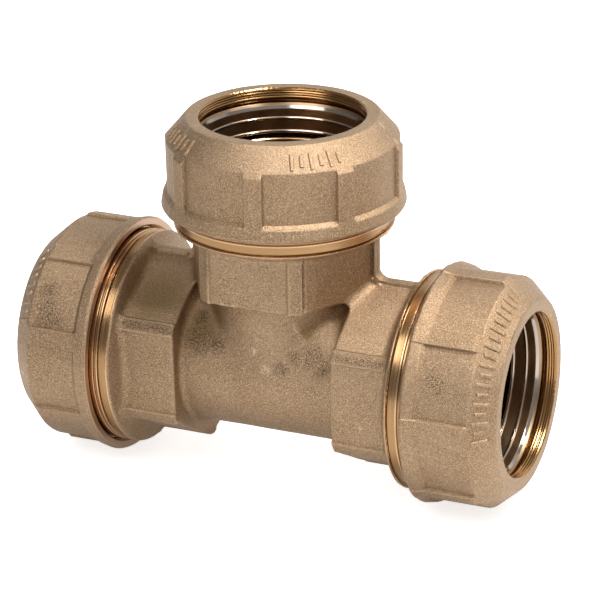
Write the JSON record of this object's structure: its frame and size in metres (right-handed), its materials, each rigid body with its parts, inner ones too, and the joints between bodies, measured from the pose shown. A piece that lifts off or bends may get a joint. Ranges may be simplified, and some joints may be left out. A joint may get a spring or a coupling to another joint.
{
  "type": "compression tee fitting",
  "caption": "Brass equal tee pipe fitting: three ports with screwed union nuts, split clamping rings, thrust washers and O-ring seals; a plastic pipe pushes into each port.",
  "frame": {"origin": "the point where the axes of the three ports cross", "axes": "+X out of the right run port, -X out of the left run port, +Z out of the branch port; the hexagons' flats face +Y and -Y"},
  "size_m": [0.16, 0.0752, 0.1176],
  "materials": {
    "body_brass": "sand-blasted hot stamping, machined collars",
    "nut_brass": "sand-blasted hot stamping, turned bore",
    "ring_nickel": "bright nickel plate, turned",
    "washer_brass": "turned",
    "seal_rubber": "moulded nitrile rubber"
  },
  "bodies": {
    "tee": {"tee_body": "body_brass", "right_thrust_washer": "washer_brass", "right_o_ring": "seal_rubber", "left_thrust_washer": "washer_brass", "left_o_ring": "seal_rubber", "branch_thrust_washer": "washer_brass", "branch_o_ring": "seal_rubber"},
    "right_ring_carrier": {"right_clamp_ring": "ring_nickel"},
    "right_nut_body": {"right_nut": "nut_brass"},
    "left_ring_carrier": {"left_clamp_ring": "ring_nickel"},
    "left_nut_body": {"left_nut": "nut_brass"},
    "branch_ring_carrier": {"branch_clamp_ring": "ring_nickel"},
    "branch_nut_body": {"branch_nut": "nut_brass"}
  },
  "joints": [
    {"name": "right_nut_travel", "type": "slide", "parent": "tee", "child": "right_ring_carrier", "axis": [1, 0, 0], "range_m": [-0.00101, 0.00601]},
    {"name": "right_nut_turn", "type": "hinge", "parent": "right_ring_carrier", "child": "right_nut_body", "pos_m": [0.066, 0, 0], "axis": [1, 0, 0], "range_deg": [-120, 720]},
    {"name": "left_nut_travel", "type": "slide", "parent": "tee", "child": "left_ring_carrier", "axis": [-1, 0, 0], "range_m": [-0.00101, 0.00601]},
    {"name": "left_nut_turn", "type": "hinge", "parent": "left_ring_carrier", "child": "left_nut_body", "pos_m": [-0.066, 0, 0], "axis": [-1, 0, 0], "range_deg": [-120, 720]},
    {"name": "branch_nut_travel", "type": "slide", "parent": "tee", "child": "branch_ring_carrier", "axis": [0, 0, 1], "range_m": [-0.00101, 0.00601]},
    {"name": "branch_nut_turn", "type": "hinge", "parent": "branch_ring_carrier", "child": "branch_nut_body", "pos_m": [0, 0, 0.066], "axis": [0, 0, 1], "range_deg": [-120, 720]}
  ],
  "couplings": [
    {"joint": "right_nut_travel", "follows": "right_nut_turn", "m_per_rad": 0.00047746},
    {"joint": "left_nut_travel", "follows": "left_nut_turn", "m_per_rad": 0.00047746},
    {"joint": "branch_nut_travel", "follows": "branch_nut_turn", "m_per_rad": 0.00047746}
  ]
}
